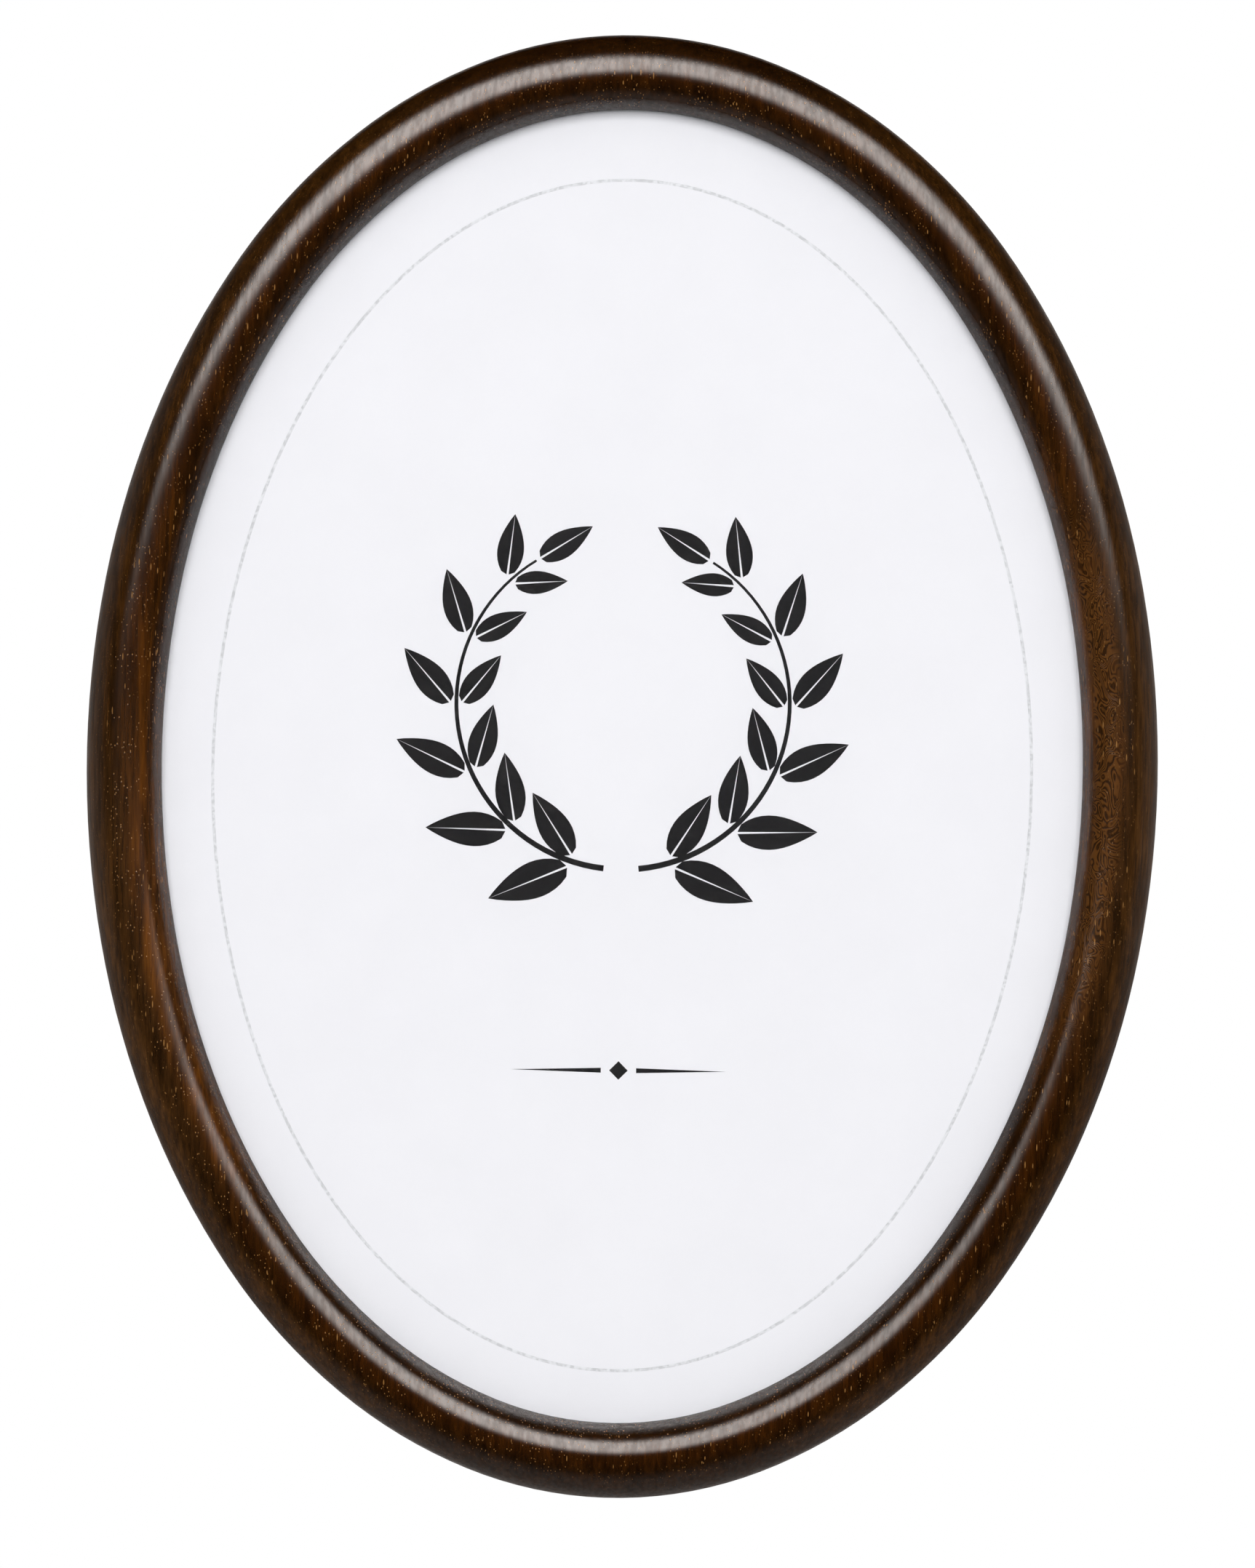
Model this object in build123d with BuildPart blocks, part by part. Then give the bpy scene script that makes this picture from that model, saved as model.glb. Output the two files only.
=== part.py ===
from build123d import *
import os
from math import cos, radians, sin, sqrt, tan

# Oval wall frame. A half-round wooden rim is glued up from four finger-jointed pieces.
# Its rebate holds glass, print, card and backboard, which spring-steel turn buttons lock
# in, and two folding wire hangers let it hang upright or on its side.
#
# The wall is the plane y = 0 and the front faces -Y, with +Z up and +X to the right as
# seen from the front. The origin is where the nail carries the upper hanger's ring.
# Depths are measured from the wall towards the front, all sizes are in millimetres and
# all angles in degrees. Places round the oval are given by the format ellipse's
# parameter, which is 0 at the right and 90 at the top.

# The format: the oval sheet that the frame takes, drawn in this many pairs of arcs
format_width = 200.0
format_height = 280.0
oval_spans = 12

# The rim: widths are measured from the format's edge, heights from the wall
rim_outside = 9.2
rim_overlap = 6.1
rim_depth = 21.5
outer_wall_height = 12.3
lip_thickness = 1.7
crest_share = 0.553
rear_edge_bevel = 0.8
rebate_clearance = 0.75

# The sheets that the rebate holds
sheet_undersize = 0.5
glass_thickness = 2.0
print_thickness = 0.3
card_thickness = 1.5
board_thickness = 3.0
rear_recess = 5.0

# The finger joints between the rim's four pieces
joint_angle = 32.5
finger_count = 4
finger_length = 10.0
finger_tip = 0.6

# The turn buttons and the groove that takes their tips
button_count = 6
button_first_angle = 15.0
button_length = 22.0
button_width = 9.0
button_tip_width = 4.6
button_thickness = 0.8
button_inset = 8.0
button_lift = 0.1
groove_play = 0.9
groove_height = 1.6

# The rivets: the turn buttons' pivots are larger than those of the hangers' straps
pivot_shank = 3.0
pivot_head = 5.0
pivot_flange = 7.0
strap_rivet_shank = 2.2
strap_rivet_head = 3.8
strap_rivet_flange = 4.6
rivet_head_height = 0.9
rivet_flange_thickness = 0.6
rivet_clearance = 0.05

# The hangers: a folded strap holds the straight side of a triangular wire ring
nail_inset = 8.0
wire = 2.0
wire_clearance = 0.08
ring_side_angle = 60.0
ring_corner_radius = 2.0
ring_apex_radius = 2.5
ring_wire_gap = 0.4
strap_width = 10.0
strap_length = 12.5
strap_thickness = 0.8
strap_side_play = 0.4
strap_corner_radius = 2.5
strap_curl_angle = 290.0
strap_rivet_first = 4.4
strap_rivet_spacing = 5.0

# Every cut runs past the solid by this much
overrun = 2.0

# Depths of the sheets' faces and of the rim's lip
board_rear = rear_recess
board_front = board_rear + board_thickness
card_front = board_front + card_thickness
print_front = card_front + print_thickness
ledge = print_front + glass_thickness
lip_front = ledge + lip_thickness

# Widths across the rim
rim_width = rim_outside + rim_overlap
crest = rim_outside - crest_share * rim_width
groove_bottom = button_length / 2 - button_inset + groove_play
groove_middle = board_rear - button_lift - button_thickness / 2

# The ring's triangle, from the middle of its straight side
ring_half_bar = strap_width / 2 + strap_side_play
ring_half_base = ring_half_bar + ring_corner_radius / tan(radians(ring_side_angle / 2))
ring_point = ring_half_base * tan(radians(ring_side_angle))
ring_top = ring_point - ring_apex_radius * (1 / cos(radians(ring_side_angle)) - 1)
ring_reach = ring_top - wire / 2
curl_bore = wire / 2 + wire_clearance
curl_outside = curl_bore + strap_thickness

# The oval's middle hangs this far below the nail
oval_centre = nail_inset - format_height / 2
front_view = Plane(origin=(0, 0, oval_centre), x_dir=(1, 0, 0), z_dir=(0, -1, 0))


def outward(angle):
    """The direction square to the format's edge, in the front view."""
    turn = radians(angle)
    return Vector(format_height * cos(turn), format_width * sin(turn)).normalized()


def beside_edge(angle, out=0.0, along=0.0):
    """A point of the front view, placed from the format's edge."""
    turn = radians(angle)
    spot = Vector(format_width / 2 * cos(turn), format_height / 2 * sin(turn))
    return spot + outward(angle) * out + along_edge(angle) * along


def along_edge(angle):
    """The direction along the format's edge, with rising angles."""
    square = outward(angle)
    return Vector(-square.Y, square.X)


def draw_oval():
    """The format's ellipse as pairs of tangent arcs, drawn in a sketch's line builder.

    The two arcs of a pair have tangents of one length, so they meet halfway between the
    ends of those tangents.
    """
    for step in range(oval_spans):
        angles = [360 * step / oval_spans, 360 * (step + 1) / oval_spans]
        start, end = [beside_edge(angle) for angle in angles]
        leaving, arriving = [along_edge(angle) for angle in angles]
        chord = end - start
        bend = 2 - 2 * leaving.dot(arriving)
        ahead = chord.dot(leaving + arriving)
        length = (sqrt(ahead**2 + bend * chord.dot(chord)) - ahead) / bend
        meeting = (start + end + (leaving - arriving) * length) / 2
        TangentArc(start, meeting, tangent=leaving)
        TangentArc(end, meeting, tangent=-arriving)


def rear_plane(spot, towards):
    """A plane on the backboard's rear face, facing the wall, with +Y towards the rim."""
    foot = Vector(spot.X, -board_rear, oval_centre + spot.Y)
    return Plane(origin=foot, x_dir=(-towards.Y, 0, towards.X), z_dir=(0, 1, 0))


def side_plane(plane):
    """The upright plane through a rear plane's Y axis, with +Y towards the wall."""
    return Plane(origin=plane.origin, x_dir=plane.y_dir, z_dir=plane.x_dir)


# Where the turn buttons pivot and where the hangers' straps are riveted
button_angles = [button_first_angle + 360 * step / button_count for step in range(button_count)]
button_planes = [rear_plane(beside_edge(angle, -button_inset), outward(angle)) for angle in button_angles]
hanger_angles = {"portrait_hanger": 90.0, "landscape_hanger": 180.0}
hanger_planes = {
    name: rear_plane(beside_edge(angle, -nail_inset - ring_reach), outward(angle))
    for name, angle in hanger_angles.items()
}
strap_rivet_rows = [-strap_rivet_first, -strap_rivet_first - strap_rivet_spacing]
strap_rivet_planes = [
    Plane(origin=plane.from_local_coords(Vector(0, row)), x_dir=plane.x_dir, z_dir=plane.z_dir)
    for plane in hanger_planes.values()
    for row in strap_rivet_rows
]


# The format's oval, which the rim follows and the sheets fill
with BuildSketch(front_view) as format_oval:
    with BuildLine():
        draw_oval()
    make_face()

format_edge = format_oval.sketch.face().outer_wire()

# The rim's moulding, swept round the format's edge. The section's X axis points outwards
# and its Y axis to the front.
section_plane = Plane(
    origin=format_edge @ 0,
    x_dir=(format_edge % 0).cross(front_view.z_dir),
    z_dir=-(format_edge % 0),
)
with BuildPart() as moulding:
    with BuildSketch(section_plane):
        with BuildLine():
            Polyline(
                (rim_outside, rear_edge_bevel),
                (rim_outside - rear_edge_bevel, 0),
                (rebate_clearance, 0),
                (rebate_clearance, groove_middle - groove_height / 2),
                (groove_bottom, groove_middle - groove_height / 2),
                (groove_bottom, groove_middle + groove_height / 2),
                (rebate_clearance, groove_middle + groove_height / 2),
                (rebate_clearance, ledge),
                (-rim_overlap, ledge),
                (-rim_overlap, lip_front),
            )
            inner_height = rim_depth - lip_front
            outer_height = rim_depth - outer_wall_height
            EllipticalCenterArc((crest, lip_front), crest + rim_overlap, inner_height, 90, arc_size=90)
            EllipticalCenterArc(
                (crest, outer_wall_height), rim_outside - crest, outer_height, 0, arc_size=90
            )
            Line((rim_outside, outer_wall_height), (rim_outside, rear_edge_bevel))
        make_face()
    sweep(path=format_edge)


def finger_line(angle):
    """The zigzag of a finger joint across the rim, from inside to outside."""
    pitch = rim_width / finger_count / 2
    points = [beside_edge(angle, -rim_overlap - overrun, finger_length / 2)]
    for step in range(2 * finger_count):
        side = finger_length / 2 if step % 2 == 0 else -finger_length / 2
        middle = -rim_overlap + pitch * (step + 0.5)
        points.append(beside_edge(angle, middle - finger_tip / 2, side))
        points.append(beside_edge(angle, middle + finger_tip / 2, side))
    points.append(beside_edge(angle, rim_outside + overrun, -finger_length / 2))
    return points


def cut_rim_piece(label, start, end):
    """The stretch of the moulding between two finger joints."""
    middle = radians((start + end) / 2)
    beyond = Vector(format_width * cos(middle), format_height * sin(middle))
    first = finger_line(start)
    last = finger_line(end)
    with BuildPart() as piece:
        add(moulding.part)
        with BuildSketch(front_view.offset(-overrun)):
            with BuildLine():
                Polyline((0, 0), *first, beyond, *reversed(last), close=True)
            make_face()
        extrude(amount=rim_depth + 2 * overrun, mode=Mode.INTERSECT)
    piece.part.label = label
    return piece


frame_right = cut_rim_piece("frame_right", -joint_angle, joint_angle)
frame_top = cut_rim_piece("frame_top", joint_angle, 180 - joint_angle)
frame_left = cut_rim_piece("frame_left", 180 - joint_angle, 180 + joint_angle)
frame_bottom = cut_rim_piece("frame_bottom", 180 + joint_angle, 360 - joint_angle)


def cut_sheet(label, rear, thickness):
    """An oval sheet whose rear face lies at a depth."""
    with BuildPart() as sheet:
        with BuildSketch(front_view.offset(rear)):
            offset(format_oval.sketch_local, amount=-sheet_undersize)
        extrude(amount=thickness)
    sheet.part.label = label
    return sheet


glass_pane = cut_sheet("glass_pane", print_front, glass_thickness)
insert_print = cut_sheet("insert_print", card_front, print_thickness)
backing_card = cut_sheet("backing_card", board_front, card_thickness)

# The backboard, drilled for the rivets, whose flanges lie flush in its inner face
with BuildPart() as backboard:
    add(cut_sheet("backboard", board_rear, board_thickness).part)
    drillings = [(plane, pivot_shank, pivot_flange) for plane in button_planes]
    drillings += [(plane, strap_rivet_shank, strap_rivet_flange) for plane in strap_rivet_planes]
    for plane, shank, flange in drillings:
        with Locations(plane.offset(-board_thickness)):
            with Locations(Rotation(180, 0, 0)):
                CounterBoreHole(
                    shank / 2 + rivet_clearance,
                    flange / 2 + rivet_clearance,
                    rivet_flange_thickness,
                )
backboard.part.label = "backboard"


def turn_button(label, plane):
    """A flat steel swivel with two rounded tips, pointing at the rim and away from it."""
    tip_radius = button_tip_width / 2
    tip_reach = button_length / 2 - tip_radius
    with BuildPart() as button:
        with BuildSketch(plane.offset(button_lift)):
            Circle(button_width / 2)
            with Locations((0, tip_reach), (0, -tip_reach)):
                Circle(tip_radius)
            make_hull()
            Circle(pivot_shank / 2 + rivet_clearance, mode=Mode.SUBTRACT)
        extrude(amount=button_thickness)
    button.part.label = label
    return button


turn_buttons = [
    turn_button(f"turn_button_{number}", plane) for number, plane in enumerate(button_planes, start=1)
]


def rivets(label, planes, grip, shank, head, flange):
    """Rivets from the backboard's inner face out to heads that stand off by the grip."""
    dome = (head**2 / 4 + rivet_head_height**2) / (2 * rivet_head_height)
    with BuildPart() as group:
        for plane in planes:
            with BuildSketch(side_plane(plane)):
                with BuildLine():
                    Polyline(
                        (0, grip + rivet_head_height),
                        (0, -board_thickness),
                        (flange / 2, -board_thickness),
                        (flange / 2, rivet_flange_thickness - board_thickness),
                        (shank / 2, rivet_flange_thickness - board_thickness),
                        (shank / 2, grip),
                        (head / 2, grip),
                    )
                    RadiusArc((0, grip + rivet_head_height), (head / 2, grip), dome)
                make_face()
            revolve(axis=Axis(plane.origin, plane.z_dir))
    group.part.label = label
    return group


turn_button_rivets = rivets(
    "turn_button_rivets",
    button_planes,
    button_thickness + 2 * button_lift,
    pivot_shank,
    pivot_head,
    pivot_flange,
)
hanger_rivets = rivets(
    "hanger_rivets",
    strap_rivet_planes,
    strap_thickness,
    strap_rivet_shank,
    strap_rivet_head,
    strap_rivet_flange,
)


def hanger_strap(label, plane):
    """A steel strap whose end curls round the ring's straight side."""
    with BuildPart() as strap:
        with BuildSketch(side_plane(plane)):
            with BuildLine():
                outer = CenterArc((0, curl_outside), curl_outside, 270, strap_curl_angle)
                inner = CenterArc((0, curl_outside), curl_bore, 270, strap_curl_angle)
                Line(outer @ 1, inner @ 1)
                Polyline(
                    inner @ 0, (-strap_length, strap_thickness), (-strap_length, 0), outer @ 0
                )
            make_face()
        extrude(amount=strap_width / 2, both=True)
        far_corners = strap.edges().filter_by(Axis.Y).sort_by(Axis(plane.origin, plane.y_dir))[:2]
        fillet(far_corners, radius=strap_corner_radius)
        with BuildSketch(plane):
            with Locations(*[(0, row) for row in strap_rivet_rows]):
                Circle(strap_rivet_shank / 2 + rivet_clearance)
        extrude(amount=strap_thickness, mode=Mode.SUBTRACT)
    strap.part.label = label
    return strap


def hanger_ring(label, plane):
    """A triangle of bent wire, whose two ends meet inside the strap's curl."""
    with BuildPart() as ring:
        with BuildLine(plane.offset(curl_outside)) as bends:
            FilletPolyline(
                (ring_wire_gap / 2, 0),
                (ring_half_base, 0),
                (0, ring_point),
                (-ring_half_base, 0),
                (-ring_wire_gap / 2, 0),
                radius=[ring_corner_radius, ring_apex_radius, ring_corner_radius],
            )
        with BuildSketch(Plane(bends.line @ 0, z_dir=bends.line % 0)):
            Circle(wire / 2)
        sweep(path=bends.line)
    ring.part.label = label
    return ring


hangers = []
for name, plane in hanger_planes.items():
    hangers.append(hanger_strap(f"{name}_strap", plane))
    hangers.append(hanger_ring(f"{name}_ring", plane))

pieces = [frame_top, frame_bottom, frame_left, frame_right]
pieces += [glass_pane, insert_print, backing_card, backboard]
pieces += turn_buttons
pieces += [turn_button_rivets, hanger_rivets]
pieces += hangers

os.makedirs("parts", exist_ok=True)
for piece in pieces:
    export_step(piece.part, f"parts/{piece.part.label}.step")
    print(piece.part.label, round(piece.part.volume, 1), "mm3", len(piece.part.solids()), "solid(s)")
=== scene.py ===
"""Looks of the oval picture frame: stained wood rim, glass, printed insert, hardboard back, hangers.

The frame hangs by its upper ring at the origin, with +Z up and its face towards -Y. All lengths
are in metres. Colours are linear.
"""

from math import cos, pi, radians, sin

import bmesh
import bpy
from mathutils import Matrix, Vector


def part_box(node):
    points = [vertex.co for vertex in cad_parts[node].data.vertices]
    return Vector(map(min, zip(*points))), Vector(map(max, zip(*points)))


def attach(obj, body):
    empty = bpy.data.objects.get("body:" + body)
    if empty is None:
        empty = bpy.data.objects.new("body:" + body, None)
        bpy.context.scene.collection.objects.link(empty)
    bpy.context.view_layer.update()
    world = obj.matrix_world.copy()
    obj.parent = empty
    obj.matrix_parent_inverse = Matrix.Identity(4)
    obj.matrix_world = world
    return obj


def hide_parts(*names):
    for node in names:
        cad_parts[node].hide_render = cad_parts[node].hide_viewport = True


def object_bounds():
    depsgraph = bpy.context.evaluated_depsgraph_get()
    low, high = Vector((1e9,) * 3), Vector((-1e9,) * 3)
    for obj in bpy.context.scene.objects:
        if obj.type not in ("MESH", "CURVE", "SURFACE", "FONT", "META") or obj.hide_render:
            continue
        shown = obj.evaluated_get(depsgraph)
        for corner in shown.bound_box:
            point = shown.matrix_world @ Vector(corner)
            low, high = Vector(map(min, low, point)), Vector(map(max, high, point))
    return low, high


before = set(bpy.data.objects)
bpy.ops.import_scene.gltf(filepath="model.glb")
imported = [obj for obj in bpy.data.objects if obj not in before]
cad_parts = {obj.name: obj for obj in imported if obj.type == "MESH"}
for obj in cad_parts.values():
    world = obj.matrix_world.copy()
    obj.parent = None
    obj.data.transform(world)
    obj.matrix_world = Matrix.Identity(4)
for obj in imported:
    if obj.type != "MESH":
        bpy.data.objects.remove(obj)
cad_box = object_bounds()

mm = 0.001

# Where the photograph was taken from
photo_height_px = 2156
photo_centre_px = Vector((862.5, 1078.0))
oval_centre_px = Vector((855.3, 1054.1))
pixels_per_mm = 6.739
photo_lean = radians(0.73)
camera_distance = 7.0
sensor_size = 36.0
outline_y = -10 * mm

# The oval, from the frame's own pieces
rim_low, rim_high = (Vector(corner) for corner in cad_box)
print_low, print_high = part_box("insert_print")
oval_centre_z = (print_low.z + print_high.z) / 2
sheet_half_width = (print_high.x - print_low.x) / 2
sheet_half_height = (print_high.z - print_low.z) / 2

# The rim's section: distances out from the sheet's edge, and forwards from the wall
rim_outside = rim_high.x - print_high.x
rim_overlap = 5.6 * mm
crest_share = 0.553
crest_out = rim_outside - crest_share * (rim_outside + rim_overlap)
outer_wall_depth = 12.3 * mm
lip_depth = 13.5 * mm
rim_depth = -rim_low.y

# Lamps: a soft box in front, one behind, and an even fill
front_azimuth = 0.0
front_elevation = radians(13)
front_distance = 2.6
front_size = (1.4, 1.0)
front_radiance = 12.4
rear_azimuth = radians(160)
rear_elevation = radians(35)
rear_distance = 1.6
rear_size = (1.2, 1.0)
rear_radiance = 3.4
fill_level = 0.56

# What gleams in the lacquer, by the parts of the direction that the gleam comes from
window_level = 10.3
window_tint = (1.0, 0.93, 0.885, 1.0)
window_shift = 0.05
window_rake = 0.35
window_foot = (0.10, 0.48)
window_head = (0.76, 1.0)
window_front = (-0.64, -0.22)
window_sides = (0.60, 0.85)
surroundings_level = 0.25
surroundings_top = (0.15, 0.6)
surroundings_tilt = -0.35
surroundings_front = (-0.5, 0.25)
ground_level = 0.10
ground_rise = (-0.95, -0.35)
behind_level = 0.9
behind_edge = (0.86, 1.0)

# The floor
floor_drop = 0.62
floor_radius = 0.9
floor_fade = (0.35 * floor_radius, 0.95 * floor_radius)
floor_glow = 0.3
floor_colour = (0.8, 0.8, 0.8, 1)
white = (1.0, 1.0, 1.0, 1.0)

# The wood's colours
dark_stain = (0.0125, 0.0041, 0.0004, 1)
# Painted light: the crest at the head and foot, lighter where it faces the front lamp
painted_crest_light = (0.0185, 0.0052, 0.0003, 1)
outer_stain = (0.0235, 0.0092, 0.0020, 1)
inner_stain = (0.0450, 0.0145, 0.0019, 1)
# Painted sheen: the lighter outer edge on the flanks, standing in for the surroundings caught in the
# lacquer at a grazing angle
painted_edge_sheen = (0.0130, 0.0052, 0.0009, 1)
flame_stain = (0.086, 0.026, 0.0018, 1)
curl_stain = (0.050, 0.0188, 0.0037, 1)
pore_gold = (0.30, 0.145, 0.042, 1)

# The sockets of a Mix node for two values and its result, by what it mixes
mix_sockets = {"FLOAT": (2, 3, 0), "VECTOR": (4, 5, 1), "RGBA": (6, 7, 2)}


def feed(tree, socket, value):
    """Links a socket to another, or sets its value."""
    if isinstance(value, bpy.types.NodeSocket):
        tree.links.new(value, socket)
    else:
        socket.default_value = value


def add_node(tree, kind, inputs=(), **settings):
    """Adds a node with its settings, and its inputs by name or number."""
    node = tree.nodes.new(kind)
    for name, value in settings.items():
        setattr(node, name, value)
    for key, value in dict(inputs).items():
        feed(tree, node.inputs[key], value)
    return node


def calculate(tree, operation, *values):
    """The result of one sum on numbers or sockets."""
    return add_node(tree, "ShaderNodeMath", enumerate(values), operation=operation).outputs[0]


def product(tree, *values):
    """Numbers or sockets multiplied together."""
    result = values[0]
    for value in values[1:]:
        result = calculate(tree, "MULTIPLY", result, value)
    return result


def on_vectors(tree, operation, first, second=None, scale=None):
    """The result of one sum on vectors."""
    inputs = {0: first}
    if second is not None:
        inputs[1] = second
    if scale is not None:
        inputs["Scale"] = scale
    return add_node(tree, "ShaderNodeVectorMath", inputs, operation=operation).outputs[0]


def mix(tree, kind, factor, first, second, **settings):
    """Second in place of first by factor, for numbers, vectors or colours."""
    first_socket, second_socket, result = mix_sockets[kind]
    inputs = {0: factor, first_socket: first, second_socket: second}
    return add_node(tree, "ShaderNodeMix", inputs, data_type=kind, **settings).outputs[result]


def shaded(tree, colour, level):
    """A colour made darker or lighter by a level, where 1 keeps it."""
    grey = add_node(tree, "ShaderNodeCombineColor", {0: level, 1: level, 2: level}).outputs[0]
    return mix(tree, "RGBA", 1.0, colour, grey, blend_type="MULTIPLY")


def between(tree, value, low, high, to_low=0.0, to_high=1.0):
    """Value taken smoothly from low..high to to_low..to_high, and held beyond both."""
    inputs = {"Value": value, "From Min": low, "From Max": high, "To Min": to_low, "To Max": to_high}
    node = add_node(tree, "ShaderNodeMapRange", inputs, interpolation_type="SMOOTHSTEP", clamp=True)
    return node.outputs[0]


def object_place(tree):
    """The point in the object's own coordinates."""
    return add_node(tree, "ShaderNodeTexCoord").outputs["Object"]


def stretched(tree, across, along):
    """Object coordinates with the grain along Z: across and along are features per metre."""
    inputs = {"Vector": object_place(tree), "Scale": (across, across, along)}
    return add_node(tree, "ShaderNodeMapping", inputs).outputs[0]


def noise(tree, across, along, detail=2.0, roughness=0.5, distortion=0.0):
    """Noise with that many features per metre across and along the grain."""
    inputs = {
        "Vector": stretched(tree, across, along),
        "Scale": 1.0,
        "Detail": detail,
        "Roughness": roughness,
        "Distortion": distortion,
    }
    return add_node(tree, "ShaderNodeTexNoise", inputs).outputs["Fac"]


def new_material(name):
    """A material with an empty Principled shader, its tree and the shader."""
    material = bpy.data.materials.new(name)
    material.use_nodes = True
    tree = material.node_tree
    tree.nodes.clear()
    output = tree.nodes.new("ShaderNodeOutputMaterial")
    shader = tree.nodes.new("ShaderNodeBsdfPrincipled")
    tree.links.new(shader.outputs[0], output.inputs["Surface"])
    return material, tree, shader


def bump(tree, socket, height, depth, **base):
    """Roughens the surface of a normal socket by height times depth, in metres."""
    node = add_node(tree, "ShaderNodeBump", {"Height": height, "Distance": depth, **base})
    feed(tree, socket, node.outputs[0])


def rim_places(tree):
    """Where a point of the rim lies: to the right, above the oval's centre and out from the sheet's edge.

    The last is the square root of the ellipse's equation, less 1, over the length of its gradient.
    """
    parts = add_node(tree, "ShaderNodeSeparateXYZ", {0: object_place(tree)})
    right = parts.outputs["X"]
    above = calculate(tree, "SUBTRACT", parts.outputs["Z"], oval_centre_z)
    across = calculate(tree, "DIVIDE", right, sheet_half_width)
    up = calculate(tree, "DIVIDE", above, sheet_half_height)
    reach = calculate(tree, "MULTIPLY_ADD", across, across, calculate(tree, "MULTIPLY", up, up))
    reach = calculate(tree, "SQRT", reach)
    across = calculate(tree, "DIVIDE", across, sheet_half_width)
    up = calculate(tree, "DIVIDE", up, sheet_half_height)
    slope = calculate(tree, "MULTIPLY_ADD", across, across, calculate(tree, "MULTIPLY", up, up))
    slope = calculate(tree, "DIVIDE", calculate(tree, "SQRT", slope), reach)
    outwards = calculate(tree, "DIVIDE", calculate(tree, "SUBTRACT", reach, 1.0), slope)
    return right, above, outwards


def rim_normal(tree, outwards):
    """The smooth normal of the rim's rounded face and outer wall, and the mesh's own elsewhere.

    Each half of the rounded face is a quarter of an ellipse between the crest and its foot.
    """
    least_likeness = 0.93
    place = object_place(tree)
    depth = add_node(tree, "ShaderNodeSeparateXYZ", {0: place}).outputs["Y"]
    depth = calculate(tree, "MULTIPLY", depth, -1.0)
    from_centre = on_vectors(tree, "SUBTRACT", place, (0, 0, oval_centre_z))
    gradient = (1 / sheet_half_width**2, 0, 1 / sheet_half_height**2)
    square = on_vectors(tree, "NORMALIZE", on_vectors(tree, "MULTIPLY", from_centre, gradient))
    edge = on_vectors(tree, "SUBTRACT", from_centre, on_vectors(tree, "SCALE", square, scale=outwards))
    square = on_vectors(tree, "NORMALIZE", on_vectors(tree, "MULTIPLY", edge, gradient))

    beyond = calculate(tree, "SUBTRACT", outwards, crest_out)
    outer = calculate(tree, "GREATER_THAN", beyond, 0.0)
    half_width = mix(tree, "FLOAT", outer, crest_out + rim_overlap, rim_outside - crest_out)
    foot = mix(tree, "FLOAT", outer, lip_depth, outer_wall_depth)
    height = calculate(tree, "SUBTRACT", rim_depth, foot)
    rise = calculate(tree, "MAXIMUM", calculate(tree, "SUBTRACT", depth, foot), 0.0)
    aside = calculate(tree, "DIVIDE", beyond, calculate(tree, "MULTIPLY", half_width, half_width))
    ahead = calculate(tree, "DIVIDE", rise, calculate(tree, "MULTIPLY", height, height))
    facing = on_vectors(tree, "SCALE", (0, -1, 0), scale=ahead)
    section = on_vectors(tree, "ADD", on_vectors(tree, "SCALE", square, scale=aside), facing)
    section = add_node(
        tree,
        "ShaderNodeVectorTransform",
        {0: on_vectors(tree, "NORMALIZE", section)},
        vector_type="NORMAL",
        convert_from="OBJECT",
        convert_to="WORLD",
    ).outputs[0]

    own = add_node(tree, "ShaderNodeNewGeometry").outputs["Normal"]
    likeness = add_node(tree, "ShaderNodeVectorMath", {0: own, 1: section}, operation="DOT_PRODUCT")
    moulded = calculate(tree, "GREATER_THAN", likeness.outputs["Value"], least_likeness)
    return mix(tree, "VECTOR", moulded, own, section)


def wood_tone(tree, right, above, outwards):
    """Stain colour: near black at the head and foot of the oval, with a painted lighter band along the
    crest there where it faces the front lamp, and warm on the inner half of its sides.

    The outer edge is a little lighter on the flanks: a painted sheen, standing in for the lacquer catching
    the surroundings at a grazing angle.
    """
    warm_tilt, warm_drop = -0.24, 17 * mm
    warm_wander, edge_wander = 50 * mm, 5 * mm
    crest_line = 1.6 * mm
    cloud = noise(tree, 70, 30, detail=3, distortion=0.5)
    wander = calculate(tree, "MULTIPLY_ADD", cloud, warm_wander, -warm_wander / 2)
    tilted = calculate(tree, "MULTIPLY_ADD", right, warm_tilt, above)
    tilted = calculate(tree, "ABSOLUTE", calculate(tree, "ADD", tilted, warm_drop))
    beside = between(tree, calculate(tree, "ADD", tilted, wander), 25 * mm, 82 * mm, 1.0, 0.0)
    fray = calculate(tree, "MULTIPLY_ADD", cloud, edge_wander, -edge_wander / 2)
    inner = between(tree, calculate(tree, "ADD", outwards, fray), -1.2 * mm, 3.2 * mm, 1.0, 0.0)
    # Painted light: a lighter band along the crest at the head and foot, where the crest faces the front
    # lamp.
    from_crest = calculate(tree, "ABSOLUTE", calculate(tree, "SUBTRACT", outwards, crest_line))
    crest = between(tree, from_crest, 0.6 * mm, 3.2 * mm, 1.0, 0.0)
    dark = mix(tree, "RGBA", crest, dark_stain, painted_crest_light)
    light = mix(tree, "RGBA", inner, outer_stain, inner_stain)
    stain = mix(tree, "RGBA", beside, dark, light)
    # Painted sheen: the outer edge on the flanks made lighter, standing in for the surroundings caught in
    # the lacquer at a grazing angle.
    flank = between(tree, calculate(tree, "ABSOLUTE", right), 25 * mm, 60 * mm)
    outer = between(tree, outwards, 4.0 * mm, 6.4 * mm)
    wear_and_sheen = calculate(tree, "MULTIPLY", flank, outer)
    return mix(tree, "RGBA", wear_and_sheen, stain, painted_edge_sheen, blend_type="ADD")


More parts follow.
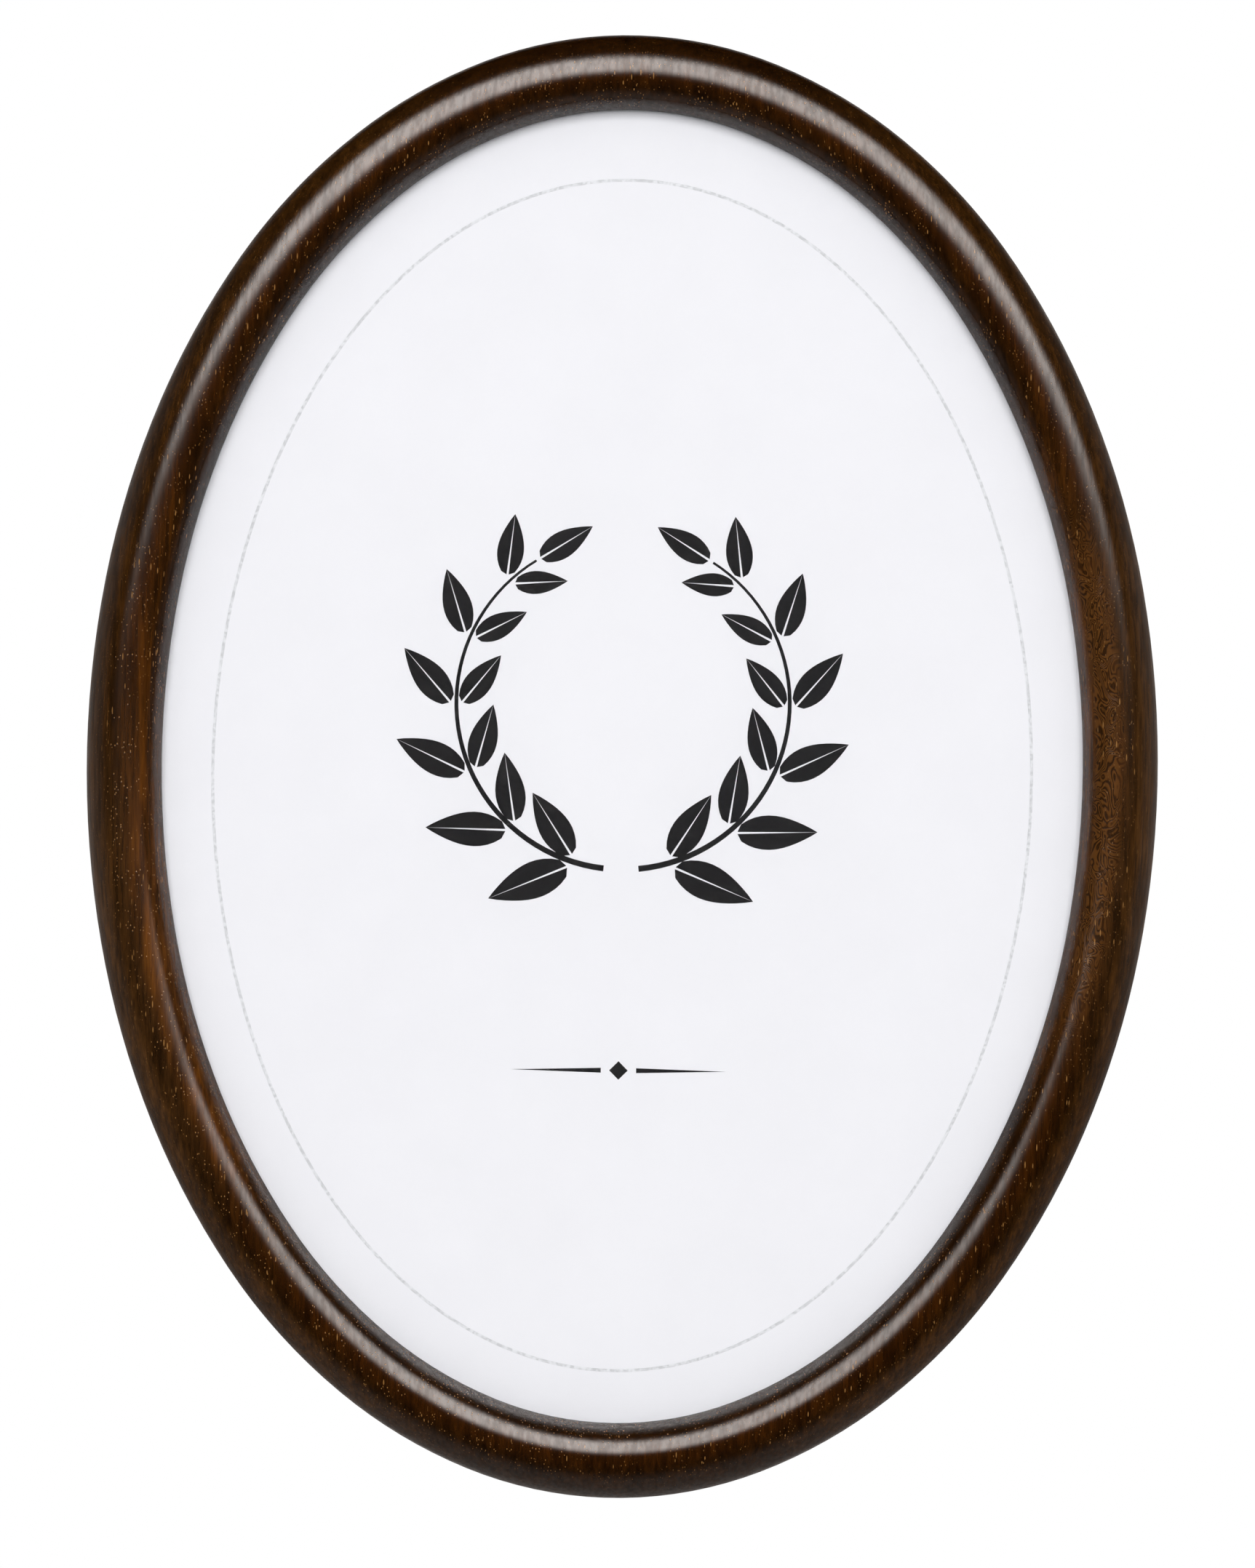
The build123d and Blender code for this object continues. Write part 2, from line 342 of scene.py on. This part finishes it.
def wood_figure(tree, right, above, outwards):
    """Curled figure, as contour lines of a noise field, and where it lies: inside on the right."""
    contours = 110.0
    field = noise(tree, 260, 150, detail=1.5, distortion=0.9)
    lines = calculate(tree, "SINE", calculate(tree, "MULTIPLY", field, contours))
    beside = between(tree, right, 60 * mm, 80 * mm)
    inner = between(tree, outwards, -3.8 * mm, -2.6 * mm)
    outer = between(tree, outwards, 0.4 * mm, 3.8 * mm, 1.0, 0.0)
    middle = between(tree, calculate(tree, "ABSOLUTE", above), 34 * mm, 62 * mm, 1.0, 0.0)
    return lines, product(tree, inner, outer, middle, beside)


def wood_flames(tree, right, above, outwards):
    """Where long orange streaks run down the left side's inner half."""
    streaks = noise(tree, 420, 20, detail=2, distortion=0.2)
    inner = between(tree, outwards, -4.6 * mm, -2.8 * mm)
    outer = between(tree, outwards, 0.5 * mm, 3.0 * mm, 1.0, 0.0)
    beside = between(tree, right, -84 * mm, -70 * mm, 1.0, 0.0)
    high = between(tree, above, 20 * mm, 65 * mm, 1.0, 0.25)
    return product(tree, inner, outer, beside, high, between(tree, streaks, 0.46, 0.60))


def wood_pores(tree, across, along, radius, coverage, seed):
    """Short vertical pore marks of that many per metre, in loose clusters."""
    cluster_across, cluster_along = 0.14, 0.3
    cluster_edge = 0.1
    soft_edge = (0.7 * radius, 1.2 * radius)
    places = on_vectors(tree, "ADD", stretched(tree, across, along), (seed, seed, seed))
    cells = add_node(
        tree,
        "ShaderNodeTexVoronoi",
        {"Vector": places, "Scale": 1.0, "Randomness": 1.0},
        feature="F1",
    )
    clusters = noise(tree, across * cluster_across, along * cluster_along, detail=2)
    clusters = between(tree, clusters, 1 - coverage, 1 - coverage + cluster_edge)
    marks = between(tree, cells.outputs["Distance"], *soft_edge, 1.0, 0.0)
    return calculate(tree, "MULTIPLY", marks, clusters)


def wood_marks(tree, right, above, outwards):
    """Golden pore marks: dashes, and small specks that show most low on the left."""
    dashes = wood_pores(tree, 1250, 210, radius=0.15, coverage=0.54, seed=3.1)
    specks = wood_pores(tree, 1600, 1050, radius=0.17, coverage=0.60, seed=7.7)
    slant = calculate(tree, "MULTIPLY_ADD", above, 0.5, right)
    low_left = between(tree, slant, -105 * mm, -65 * mm, 1.0, 0.5)
    marks = calculate(tree, "MAXIMUM", dashes, calculate(tree, "MULTIPLY", specks, low_left))
    return calculate(tree, "MULTIPLY", marks, between(tree, outwards, 3.6 * mm, 7.0 * mm, 1.0, 0.2))


def lacquer_left(tree, right, above, outwards):
    """The gloss that is left: less by the lip, on the outer wall, on the right and on the lower flanks."""
    lip_gloss, wall_gloss, right_gloss = 0.36, 0.28, 0.89
    flank_loss = 0.38
    lip = between(tree, outwards, -rim_overlap, -4.2 * mm, lip_gloss, 1.0)
    patchy = between(tree, noise(tree, 1100, 140, detail=4), 0.34, 0.66, 0.73, 1.05)
    wall = between(tree, outwards, rim_outside - 0.5 * mm, rim_outside - 0.1 * mm, 1.0, wall_gloss)
    low = between(tree, above, -70 * mm, -20 * mm, 1.0, 0.0)
    aside = between(tree, calculate(tree, "ABSOLUTE", right), 15 * mm, 90 * mm, 0.0, -flank_loss)
    flanks = calculate(tree, "MULTIPLY_ADD", low, aside, 1.0)
    rightwards = between(tree, right, -20 * mm, 40 * mm, 1.0, right_gloss)
    return product(tree, lip, patchy, wall, flanks, rightwards)


def walnut_wood():
    """Dark stained wood with upright grain, golden pores and a satin lacquer."""
    flame_share, curl_share, pore_share = 0.32, 0.9, 0.66
    pore_height, curl_height = -0.8, 0.2
    wood_relief, lacquer_relief = 0.012 * mm, 0.022 * mm
    material, tree, shader = new_material("walnut_wood")
    places = rim_places(tree)
    stain = wood_tone(tree, *places)
    flames = calculate(tree, "MULTIPLY", wood_flames(tree, *places), flame_share)
    stain = mix(tree, "RGBA", flames, stain, flame_stain)
    streak = noise(tree, 1300, 80, detail=4, roughness=0.6, distortion=0.25)
    fibre = noise(tree, 3400, 260, detail=2)
    patch = noise(tree, 330, 55, detail=2)
    stain = shaded(tree, stain, between(tree, streak, 0.30, 0.70, 0.62, 1.42))
    stain = shaded(tree, stain, between(tree, fibre, 0.3, 0.7, 0.85, 1.15))
    stain = shaded(tree, stain, between(tree, patch, 0.34, 0.66, 0.76, 1.24))

    lines, where = wood_figure(tree, *places)
    curled = shaded(tree, curl_stain, between(tree, lines, -0.9, 0.9, 0.34, 1.58))
    stain = mix(tree, "RGBA", calculate(tree, "MULTIPLY", where, curl_share), stain, curled)
    marks = wood_marks(tree, *places)
    stain = mix(tree, "RGBA", calculate(tree, "MULTIPLY", marks, pore_share), stain, pore_gold)

    feed(tree, shader.inputs["Base Color"], stain)
    shader.inputs["Roughness"].default_value = 0.5
    shader.inputs["Specular IOR Level"].default_value = 0.0
    feed(tree, shader.inputs["Coat Weight"], lacquer_left(tree, *places))
    shader.inputs["Coat Roughness"].default_value = 0.18
    shader.inputs["Coat IOR"].default_value = 1.5
    relief = calculate(tree, "MULTIPLY_ADD", marks, pore_height, streak)
    curls = calculate(tree, "MULTIPLY", lines, where)
    relief = calculate(tree, "MULTIPLY_ADD", curls, curl_height, relief)
    smooth = rim_normal(tree, places[2])
    bump(tree, shader.inputs["Normal"], relief, wood_relief, Normal=smooth)
    bump(tree, shader.inputs["Coat Normal"], relief, lacquer_relief, Normal=smooth)
    return material


def clear_glass():
    """Clear float glass that lets the lamps' light through."""
    material, tree, shader = new_material("clear_glass")
    shader.inputs["Base Color"].default_value = (0.99, 1.0, 0.995, 1)
    shader.inputs["Roughness"].default_value = 0.0
    shader.inputs["IOR"].default_value = 1.5
    shader.inputs["Transmission Weight"].default_value = 1.0
    rays = add_node(tree, "ShaderNodeLightPath")
    open_air = add_node(tree, "ShaderNodeBsdfTransparent")
    mixed = add_node(
        tree,
        "ShaderNodeMixShader",
        {0: rays.outputs["Is Shadow Ray"], 1: shader.outputs[0], 2: open_air.outputs[0]},
    )
    output = tree.nodes["Material Output"]
    tree.links.new(mixed.outputs[0], output.inputs["Surface"])
    return material


def print_paper():
    """Smooth white printing paper, a little cool."""
    material, tree, shader = new_material("print_paper")
    mottle = between(tree, noise(tree, 60, 60, detail=4), 0.3, 0.7)
    paper = mix(tree, "RGBA", mottle, (0.868, 0.860, 0.902, 1), (0.880, 0.872, 0.914, 1))
    feed(tree, shader.inputs["Base Color"], paper)
    shader.inputs["Roughness"].default_value = 0.62
    bump(tree, shader.inputs["Normal"], noise(tree, 900, 900, detail=3), 0.001 * mm)
    return material


def ink(name, colour):
    """Printing ink that soaks unevenly into the paper."""
    material, tree, shader = new_material(name)
    soak = between(tree, noise(tree, 1500, 1500, detail=3), 0.3, 0.7, 0.85, 1.15)
    feed(tree, shader.inputs["Base Color"], shaded(tree, colour, soak))
    shader.inputs["Roughness"].default_value = 0.6
    shader.inputs["Specular IOR Level"].default_value = 0.2
    return material


def grey_card():
    """Pressed grey card with flecks of recycled paper."""
    material, tree, shader = new_material("grey_card")
    flecks = noise(tree, 1800, 1800, detail=5, roughness=0.7)
    share = between(tree, flecks, 0.35, 0.65)
    card = mix(tree, "RGBA", share, (0.20, 0.19, 0.175, 1), (0.34, 0.33, 0.305, 1))
    feed(tree, shader.inputs["Base Color"], card)
    shader.inputs["Roughness"].default_value = 0.9
    bump(tree, shader.inputs["Normal"], flecks, 0.05 * mm)
    return material


def fibreboard():
    """Brown hardboard, pressed smooth with fine fibres and darker flecks."""
    material, tree, shader = new_material("fibreboard")
    broad = noise(tree, 35, 35, detail=4)
    fine = noise(tree, 1300, 1300, detail=5, roughness=0.7, distortion=1.2)
    tone = calculate(tree, "MULTIPLY_ADD", fine, 0.9, calculate(tree, "MULTIPLY", broad, 0.1))
    share = between(tree, tone, 0.38, 0.72)
    board = mix(tree, "RGBA", share, (0.13, 0.066, 0.032, 1), (0.31, 0.185, 0.10, 1))
    feed(tree, shader.inputs["Base Color"], board)
    feed(tree, shader.inputs["Roughness"], between(tree, fine, 0.3, 0.7, 0.5, 0.72))
    bump(tree, shader.inputs["Normal"], fine, 0.04 * mm)
    return material


def plated_metal(name, colour, roughness, across, along, relief):
    """Plated or drawn metal, brushed finely with that many marks per metre across and along."""
    material, tree, shader = new_material(name)
    brushed = noise(tree, across, along, detail=4, roughness=0.65)
    wear_and_sheen = noise(tree, 180, 180, detail=3)
    shade = calculate(tree, "MULTIPLY_ADD", brushed, 0.5, wear_and_sheen)
    shade = between(tree, shade, 0.5, 1.0, 0.70, 1.12)
    feed(tree, shader.inputs["Base Color"], shaded(tree, colour, shade))
    shader.inputs["Metallic"].default_value = 0.88
    dull = between(tree, brushed, 0.25, 0.75, roughness - 0.06, roughness + 0.1)
    feed(tree, shader.inputs["Roughness"], dull)
    bump(tree, shader.inputs["Normal"], brushed, relief)
    return material


def dress(material, *nodes):
    """Gives CAD nodes a material."""
    for name in nodes:
        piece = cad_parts[name]
        piece.data.materials.clear()
        piece.data.materials.append(material)


def flat_shapes(name, outlines, front_y, thickness, material):
    """Thin closed shapes on a plane facing -Y. Each outline is a ring of (x, z) points."""
    mesh = bpy.data.meshes.new(name)
    bm = bmesh.new()
    for outline in outlines:
        front = [bm.verts.new((x, front_y, z)) for x, z in outline]
        rear = [bm.verts.new((x, front_y + thickness, z)) for x, z in outline]
        bm.faces.new(front)
        bm.faces.new(rear[::-1])
        for near, far in zip(range(len(outline)), [*range(1, len(outline)), 0]):
            bm.faces.new((front[near], rear[near], rear[far], front[far]))
    bmesh.ops.recalc_face_normals(bm, faces=bm.faces)
    bm.to_mesh(mesh)
    bm.free()
    piece = bpy.data.objects.new(name, mesh)
    bpy.context.scene.collection.objects.link(piece)
    mesh.materials.append(material)
    return piece


def add_camera():
    """The photograph's view: straight on, a little off centre, with the frame leaning to the right."""
    up = Vector((-sin(photo_lean), 0, cos(photo_lean)))
    right = Vector((cos(photo_lean), 0, sin(photo_lean)))
    away = Vector((0, -1, 0))
    off_centre = (photo_centre_px - oval_centre_px) / pixels_per_mm * mm
    aim = Vector((0, outline_y, oval_centre_z)) + right * off_centre.x - up * off_centre.y
    data = bpy.data.cameras.new("camera")
    data.sensor_width = sensor_size
    data.lens = sensor_size * camera_distance / (photo_height_px / pixels_per_mm * mm)
    data.clip_start = 0.01
    data.clip_end = 50
    camera = bpy.data.objects.new("camera", data)
    bpy.context.scene.collection.objects.link(camera)
    turn = Matrix((right, up, away)).transposed().to_4x4()
    camera.matrix_world = Matrix.Translation(aim + away * camera_distance) @ turn
    bpy.context.scene.camera = camera


def add_soft_box(name, azimuth, elevation, distance, size, radiance):
    """A rectangular lamp that faces the oval's centre but doesn't gleam in it. Azimuth 0 is -Y."""
    target = Vector((0, 0, oval_centre_z))
    back = Vector((
        sin(azimuth) * cos(elevation),
        -cos(azimuth) * cos(elevation),
        sin(elevation),
    ))
    width, height = size
    data = bpy.data.lights.new(name, "AREA")
    data.shape = "RECTANGLE"
    data.size = width
    data.size_y = height
    data.energy = radiance * pi * width * height
    lamp = bpy.data.objects.new(name, data)
    bpy.context.scene.collection.objects.link(lamp)
    lamp.location = target + back * distance
    lamp.rotation_mode = "QUATERNION"
    lamp.rotation_quaternion = (-back).to_track_quat("-Z", "Y")
    lamp.visible_camera = False
    lamp.visible_glossy = False
    lamp.visible_transmission = False


def studio_gleam(tree, direction):
    """How bright the studio gleams that way: a soft window above the camera and dim low surroundings."""
    parts = add_node(tree, "ShaderNodeSeparateXYZ", {0: direction})
    across = calculate(tree, "ABSOLUTE", calculate(tree, "SUBTRACT", parts.outputs["X"], window_shift))
    back = parts.outputs["Y"]
    up = parts.outputs["Z"]
    raised = calculate(tree, "MULTIPLY_ADD", calculate(tree, "MULTIPLY", up, across), window_rake, up)
    foot = between(tree, raised, *window_foot, 0.0, window_level)
    head = between(tree, up, *window_head, 1.0, 0.0)
    head = calculate(tree, "MULTIPLY", head, between(tree, back, *window_front, 1.0, 0.0))
    sides = between(tree, across, *window_sides, 1.0, 0.0)
    window = product(tree, foot, head, sides)
    low = between(tree, up, *surroundings_top, surroundings_level, 0.0)
    low = calculate(tree, "ADD", low, between(tree, up, *ground_rise, ground_level, 0.0))
    around = calculate(tree, "MULTIPLY_ADD", up, surroundings_tilt, back)
    around = between(tree, around, *surroundings_front)
    behind = between(tree, back, *behind_edge, 0.0, behind_level)
    return calculate(tree, "ADD", calculate(tree, "MULTIPLY_ADD", low, around, behind), window)


def add_world():
    """White to the camera and through glass, an even fill on surfaces, and a studio in reflections."""
    world = bpy.data.worlds.new("studio")
    world.use_nodes = True
    bpy.context.scene.world = world
    tree = world.node_tree
    tree.nodes.clear()
    rays = add_node(tree, "ShaderNodeLightPath")
    gleam = studio_gleam(tree, add_node(tree, "ShaderNodeTexCoord").outputs["Generated"])
    scattered = calculate(tree, "GREATER_THAN", rays.outputs["Diffuse Depth"], 0.5)
    gleaming = calculate(tree, "GREATER_THAN", rays.outputs["Glossy Depth"], 0.5)
    level = mix(tree, "FLOAT", gleaming, 1.0, gleam)
    level = mix(tree, "FLOAT", scattered, level, fill_level)
    tint = mix(tree, "RGBA", gleaming, white, window_tint)
    background = add_node(tree, "ShaderNodeBackground", {"Color": tint, "Strength": level})
    output = tree.nodes.new("ShaderNodeOutputWorld")
    tree.links.new(background.outputs[0], output.inputs[0])
    world.cycles.sampling_method = "NONE"


def add_floor():
    """A pale floor well below the hanging frame, white to the camera at its rim so that no edge shows."""
    bpy.ops.mesh.primitive_circle_add(
        vertices=96,
        radius=floor_radius,
        fill_type="NGON",
        location=(0, 0, rim_low.z - floor_drop),
    )
    floor = bpy.context.object
    floor.name = "studio_floor"
    material = bpy.data.materials.new("studio_floor")
    material.use_nodes = True
    tree = material.node_tree
    tree.nodes.clear()
    reach = add_node(tree, "ShaderNodeVectorMath", {0: object_place(tree)}, operation="LENGTH")
    rim = between(tree, reach.outputs["Value"], *floor_fade)
    seen = add_node(tree, "ShaderNodeLightPath").outputs["Is Camera Ray"]
    glow = calculate(tree, "MULTIPLY", seen, mix(tree, "FLOAT", rim, floor_glow, 1.0))
    pale = add_node(tree, "ShaderNodeBsdfDiffuse", {"Color": floor_colour})
    lit = add_node(tree, "ShaderNodeEmission", {"Color": white, "Strength": glow})
    both = add_node(tree, "ShaderNodeAddShader", {0: pale.outputs[0], 1: lit.outputs[0]})
    output = tree.nodes.new("ShaderNodeOutputMaterial")
    tree.links.new(both.outputs[0], output.inputs["Surface"])
    floor.data.materials.append(material)
    floor.visible_glossy = False


def leaf_half(foot, heading, length, width, side):
    """One side of a pointed leaf, up to a thin slit along its midrib."""
    steps = 12
    slit = 0.22 * mm
    rib_start = 0.04
    foot_bias, roundness = 0.8, 0.9
    forward = Vector((cos(heading), sin(heading)))
    across = Vector((-sin(heading), cos(heading))) * side
    rib = [foot + forward * length * rib_start + across * slit, foot + forward * length]
    edge = []
    for step in range(1, steps):
        share = step / steps
        half = width / 2 * sin(pi * share**foot_bias) ** roundness
        edge.append(foot + forward * length * share + across * (slit * (1 - share) + half))
    return rib + edge[::-1]


def half_wreath():
    """A leafy stem that rises round the right of a circle, from its foot almost to its top."""
    radius = 34 * mm
    start, end = radians(-84), radians(58)
    first_leaf, leaf_stretch = 0.08, 0.84
    pairs = 6
    spread = radians(40)
    leaf_length, leaf_width = 18 * mm, 7.2 * mm
    tip_size, tip_turn = 0.72, radians(0.8)
    inner_leaf_size = 0.86
    stem_half, stem_taper = 0.62 * mm, 0.6
    leaf_stalk = 0.9 * mm
    rise = 13 * mm
    middle = Vector((0, oval_centre_z + rise))

    def on_circle(angle, out=0.0):
        return middle + Vector((cos(angle), sin(angle))) * (radius + out)

    steps = 40
    outer, inner = [], []
    for step in range(steps + 1):
        share = step / steps
        angle = start + (end - start) * share
        half = stem_half * (1 - stem_taper * share)
        outer.append(on_circle(angle, half))
        inner.append(on_circle(angle, -half))
    outlines = [outer + inner[::-1]]
    for pair in range(pairs):
        share = pair / (pairs - 1)
        size = 1 + (tip_size - 1) * share
        angle = start + (end - start) * (first_leaf + leaf_stretch * share)
        for side, scale in ((-1, 1.0), (1, inner_leaf_size)):
            heading = angle + pi / 2 + side * spread
            foot = on_circle(angle, -side * leaf_stalk)
            length, width = leaf_length * size * scale, leaf_width * size * scale
            outlines += [leaf_half(foot, heading, length, width, half) for half in (-1, 1)]
    heading = end + pi / 2
    foot = on_circle(end + tip_turn)
    length, width = leaf_length * tip_size, leaf_width * tip_size
    outlines += [leaf_half(foot, heading, length, width, half) for half in (-1, 1)]
    return outlines


def divider():
    """A small diamond between two tapered strokes, under the wreath."""
    level = oval_centre_z - 62 * mm
    size = 1.9 * mm
    gap, reach, thick = 3.6 * mm, 22 * mm, 0.5 * mm
    diamond = [(size, level), (0, level + size), (-size, level), (0, level - size)]
    strokes = [
        [(side * gap, level - thick), (side * reach, level), (side * gap, level + thick)]
        for side in (-1, 1)
    ]
    return [diamond] + strokes


def mirrored(outlines):
    """The same shapes on the other side of the oval's upright axis."""
    return [[(-x, z) for x, z in outline] for outline in outlines]


def oval_line(width, height, centre, line):
    """A printed line round an oval, as many short closed pieces."""
    steps = 180
    shapes = []
    for index in range(steps):
        first, second = (2 * pi * (index + k) / steps for k in (0, 1))
        ring = []
        for grow, angles in ((line / 2, (first, second)), (-line / 2, (second, first))):
            for angle in angles:
                ring.append((
                    centre.x + (width / 2 + grow) * cos(angle),
                    centre.y + (height / 2 + grow) * sin(angle),
                ))
        shapes.append(ring)
    return shapes


def add_print(paper):
    """The insert sheet with its thin oval line and a plain leaf wreath."""
    gap = 0.06 * mm
    film = 0.02 * mm
    steps = 128
    line_width, line_height, line_drop = 167.0 * mm, 242.9 * mm, 1.8 * mm
    line_thickness = 0.63 * mm
    turns = [2 * pi * step / steps for step in range(steps)]
    outline = [
        (sheet_half_width * cos(turn), oval_centre_z + sheet_half_height * sin(turn)) for turn in turns
    ]
    front_y = print_low.y + gap
    sheet = flat_shapes("insert_sheet", [outline], front_y, print_high.y - front_y, paper)
    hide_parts("insert_print")
    line_centre = Vector((0, oval_centre_z - line_drop))
    line_shapes = oval_line(line_width, line_height, line_centre, line_thickness)
    grey = ink("pale_grey_ink", (0.72, 0.72, 0.75, 1))
    black = ink("black_ink", (0.0075, 0.0075, 0.0085, 1))
    branch = half_wreath()
    wreath = branch + mirrored(branch) + divider()
    line = flat_shapes("insert_oval_line", line_shapes, front_y - film, film, grey)
    motif = flat_shapes("insert_leaf_wreath", wreath, front_y - film, film, black)
    for piece in (sheet, line, motif):
        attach(piece, "frame")


spring_steel = plated_metal("spring_steel", (0.58, 0.57, 0.56, 1), 0.32, 4000, 300, 0.004 * mm)
nickel_rivet = plated_metal("nickel_rivet", (0.66, 0.62, 0.56, 1), 0.22, 2500, 2500, 0.003 * mm)
zinc_strap = plated_metal("zinc_strap", (0.70, 0.70, 0.71, 1), 0.34, 900, 900, 0.004 * mm)
steel_wire = plated_metal("steel_wire", (0.66, 0.65, 0.64, 1), 0.26, 3000, 3000, 0.003 * mm)
dress(walnut_wood(), "frame_top", "frame_right", "frame_bottom", "frame_left")
dress(clear_glass(), "glass_pane")
dress(grey_card(), "backing_card")
dress(fibreboard(), "backboard")
dress(spring_steel, *(f"turn_button_{number}" for number in range(1, 7)))
dress(nickel_rivet, "turn_button_rivets", "hanger_rivets")
dress(zinc_strap, "portrait_hanger_strap", "landscape_hanger_strap")
dress(steel_wire, "portrait_hanger_ring", "landscape_hanger_ring")
add_print(print_paper())

add_camera()
add_world()
add_floor()
add_soft_box("front_light", front_azimuth, front_elevation, front_distance, front_size, front_radiance)
add_soft_box("rear_light", rear_azimuth, rear_elevation, rear_distance, rear_size, rear_radiance)
bpy.context.scene.view_settings.view_transform = "Standard"
